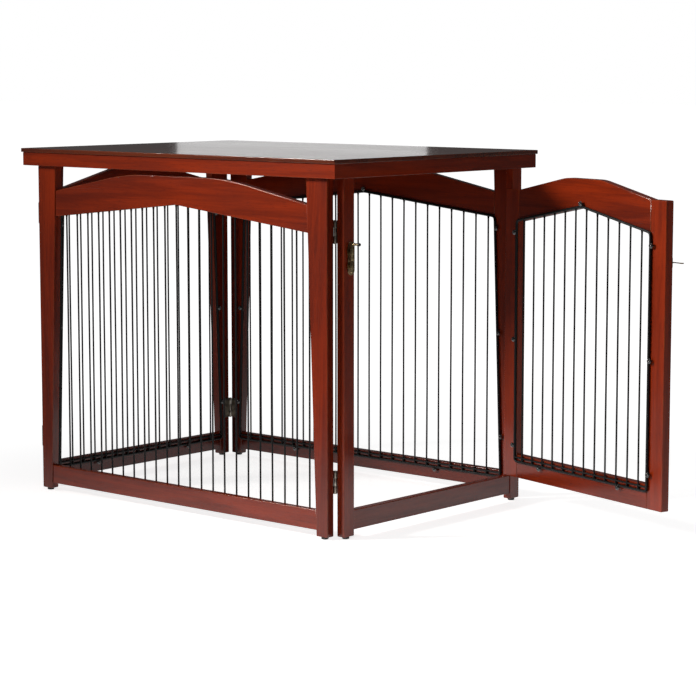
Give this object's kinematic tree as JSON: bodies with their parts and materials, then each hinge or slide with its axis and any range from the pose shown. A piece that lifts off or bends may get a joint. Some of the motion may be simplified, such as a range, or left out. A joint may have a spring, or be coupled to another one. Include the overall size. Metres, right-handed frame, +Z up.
{
  "type": "furniture dog crate",
  "caption": "Wooden dog crate and end table with wire-filled panels, a swinging end door, folding corners and a lift-off top.",
  "frame": {"origin": "middle of the footprint at floor level, with the door open as stored", "axes": "+Z up, +X towards the door end, -Y towards the front long side"},
  "size_m": [1.5226, 0.703, 0.808],
  "materials": {
    "cherry_wood": "glossy red-brown cherry stain",
    "table_slab": "glossy red-brown cherry stain, worn smooth",
    "black_wire": "gloss black powder coat",
    "hinge_steel": "dull grey-brown plated steel",
    "antique_brass": "antique brass plating, rubbed",
    "dark_plastic": "matt dark brown"
  },
  "bodies": {
    "front": {"front_left_post": "cherry_wood", "front_right_post": "cherry_wood", "front_bottom_rail": "cherry_wood", "front_arched_rail": "cherry_wood", "front_wire_grille": "black_wire", "front_left_glide": "dark_plastic", "front_right_glide": "dark_plastic", "top_locating_peg_left": "cherry_wood", "top_locating_peg_right": "cherry_wood", "right_corner_lower_hinge_front_leaf": "hinge_steel", "right_corner_upper_hinge_front_leaf": "hinge_steel", "left_corner_lower_hinge_front_leaf": "hinge_steel", "left_corner_upper_hinge_front_leaf": "hinge_steel"},
    "door_end": {"door_end_latch_jamb": "cherry_wood", "door_end_hinge_jamb": "cherry_wood", "door_end_bottom_rail": "cherry_wood", "door_end_front_glide": "dark_plastic", "door_end_back_glide": "dark_plastic", "door_lower_hinge_jamb_leaf": "hinge_steel", "door_upper_hinge_jamb_leaf": "hinge_steel", "latch_plate": "antique_brass", "right_corner_lower_hinge_door_end_leaf": "hinge_steel", "right_corner_upper_hinge_door_end_leaf": "hinge_steel"},
    "latch_bolt": {"latch_bolt": "antique_brass", "latch_knob": "dark_plastic"},
    "door": {"door_latch_stile": "cherry_wood", "door_hinge_stile": "cherry_wood", "door_bottom_rail": "cherry_wood", "door_arched_rail": "cherry_wood", "door_wire_grille": "black_wire", "door_keeper": "antique_brass", "door_lower_hinge_door_leaf": "hinge_steel", "door_upper_hinge_door_leaf": "hinge_steel"},
    "left_end": {"left_end_back_post": "cherry_wood", "left_end_front_post": "cherry_wood", "left_end_bottom_rail": "cherry_wood", "left_end_arched_rail": "cherry_wood", "left_end_wire_grille": "black_wire", "left_end_back_glide": "dark_plastic", "left_end_front_glide": "dark_plastic", "left_corner_lower_hinge_left_end_leaf": "hinge_steel", "left_corner_upper_hinge_left_end_leaf": "hinge_steel", "back_corner_lower_hinge_left_end_leaf": "hinge_steel", "back_corner_upper_hinge_left_end_leaf": "hinge_steel"},
    "back": {"back_right_post": "cherry_wood", "back_left_post": "cherry_wood", "back_bottom_rail": "cherry_wood", "back_arched_rail": "cherry_wood", "back_wire_grille": "black_wire", "back_right_glide": "dark_plastic", "back_left_glide": "dark_plastic", "back_corner_lower_hinge_back_leaf": "hinge_steel", "back_corner_upper_hinge_back_leaf": "hinge_steel"},
    "top": {"table_slab": "table_slab", "apron_front": "cherry_wood", "apron_right": "cherry_wood", "apron_back": "cherry_wood", "apron_left": "cherry_wood", "top_batten_left": "cherry_wood", "top_batten_right": "cherry_wood"}
  },
  "joints": [
    {"name": "door_swing", "type": "hinge", "parent": "door_end", "child": "door", "pos_m": [0.21041, 0.273, 0.395], "axis": [0, 0, 1], "range_deg": [-75, 95]},
    {"name": "latch_bolt_slide", "type": "slide", "parent": "door_end", "child": "latch_bolt", "axis": [0, 0, 1], "range_m": [-0.007, 0]},
    {"name": "top_lift", "type": "slide", "parent": "front", "child": "top", "axis": [0, 0, 1], "range_m": [0, 0.25]},
    {"name": "right_corner_fold", "type": "hinge", "parent": "front", "child": "door_end", "pos_m": [0.18461, -0.31, 0.389], "axis": [0, 0, 1], "range_deg": [-90, 0]},
    {"name": "left_corner_fold", "type": "hinge", "parent": "front", "child": "left_end", "pos_m": [-0.72539, -0.31, 0.389], "axis": [0, 0, 1], "range_deg": [0, 90]},
    {"name": "back_corner_fold", "type": "hinge", "parent": "left_end", "child": "back", "pos_m": [-0.72539, 0.31, 0.389], "axis": [0, 0, 1], "range_deg": [0, 90]}
  ]
}
